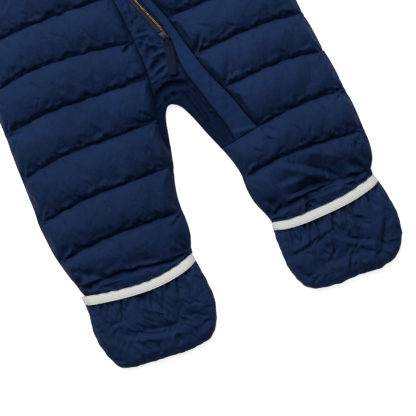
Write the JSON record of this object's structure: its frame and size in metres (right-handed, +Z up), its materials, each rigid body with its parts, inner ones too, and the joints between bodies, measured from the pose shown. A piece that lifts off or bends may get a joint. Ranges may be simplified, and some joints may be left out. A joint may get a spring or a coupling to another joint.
{
  "type": "baby snowsuit",
  "caption": "Quilted baby snowsuit laid flat on its back, with a zip front under a storm flap, a stand collar and fold-over foot covers edged in pale tape.",
  "frame": {"origin": "middle of the garment's footprint, on the surface that it lies on", "axes": "+Y towards the collar, +X towards the wearer's left, +Z up from the surface out of the garment's front"},
  "size_m": [0.6802, 0.7054, 0.0302],
  "materials": {
    "quilted_navy": "smooth woven nylon with a soft sheen, quilted over filling",
    "plain_navy": "smooth woven nylon with a soft sheen, wrinkled",
    "pale_tape": "matte pale grey woven reflective tape",
    "zip_tape": "matte charcoal woven tape",
    "zip_metal": "dulled brass"
  },
  "bodies": {
    "garment": {"front_right": "quilted_navy", "front_left": "quilted_navy", "back_right": "quilted_navy", "back_left": "quilted_navy", "sleeve_front_right": "quilted_navy", "sleeve_front_left": "quilted_navy", "sleeve_back_right": "quilted_navy", "sleeve_back_left": "quilted_navy", "collar": "quilted_navy", "cuff_right": "plain_navy", "cuff_left": "plain_navy", "placket": "plain_navy", "crotch_gusset": "plain_navy", "storm_flap": "plain_navy", "foot_cover_right": "plain_navy", "foot_cover_left": "plain_navy", "foot_sole_right": "plain_navy", "foot_sole_left": "plain_navy", "foot_band_right": "pale_tape", "foot_band_left": "pale_tape", "zip_tape_right": "zip_tape", "zip_tape_left": "zip_tape", "zip_teeth_right": "zip_metal", "zip_slider": "zip_metal"},
    "pull": {"zip_pull": "zip_tape"}
  },
  "joints": [
    {"name": "pull_hinge", "type": "hinge", "parent": "garment", "child": "pull", "pos_m": [0.0286, -0.024, 0.0214], "axis": [-0.9681, 0.2504, 0], "range_deg": [0, 150]}
  ]
}
